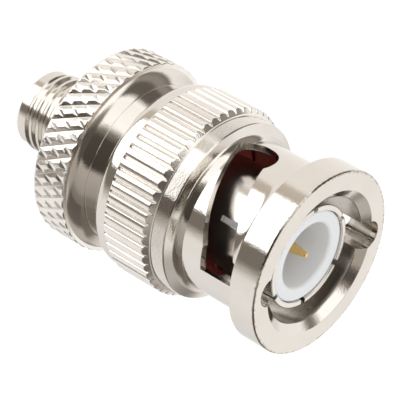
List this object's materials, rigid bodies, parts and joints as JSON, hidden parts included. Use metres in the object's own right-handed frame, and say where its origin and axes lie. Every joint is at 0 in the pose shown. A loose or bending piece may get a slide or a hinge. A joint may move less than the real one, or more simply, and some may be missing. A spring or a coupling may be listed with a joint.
{
  "type": "sma jack to bnc plug adapter",
  "caption": "Coaxial adapter with a threaded jack, a diamond-knurled flange and a bayonet plug whose knurled coupling nut turns and springs forward.",
  "frame": {"origin": "centre of the jack's flat end face, on the axis", "axes": "+Z along the axis, from the threaded jack towards the mouth of the bayonet plug; -Y faces the cam slot that the picture shows"},
  "size_m": [0.0152, 0.0152, 0.0274],
  "materials": {
    "nickel_plate": "turned brass, nickel plated, satin bright",
    "nickel_nut": "turned brass, nickel plated, mirror bright",
    "nickel_contact": "spring bronze, nickel plated",
    "silicone": "dark red silicone rubber",
    "spring_steel": "stamped spring steel",
    "fluoropolymer": "white PTFE, smooth and waxy",
    "gold_plate": "gold plated"
  },
  "bodies": {
    "body": {"jack_body": "nickel_plate", "plug_body": "nickel_plate", "outer_contact": "nickel_contact", "gasket": "silicone", "wave_washer_rear": "spring_steel", "wave_washer_front": "spring_steel", "plug_insulator": "fluoropolymer", "jack_insulator": "fluoropolymer", "plug_pin": "gold_plate", "jack_socket": "gold_plate"},
    "washer": {"thrust_washer": "spring_steel"},
    "nut": {"coupling_nut": "nickel_nut"}
  },
  "joints": [
    {"name": "nut_travel", "type": "slide", "parent": "body", "child": "washer", "axis": [0, 0, 1], "range_m": [0, 0.0008], "stiffness_N_per_m": 1000, "springref_m": -0.002, "deforming": ["wave_washer_rear", "wave_washer_front"]},
    {"name": "nut_turn", "type": "hinge", "parent": "washer", "child": "nut", "pos_m": [0, 0, 0.0155], "axis": [0, 0, 1], "continuous": true}
  ]
}
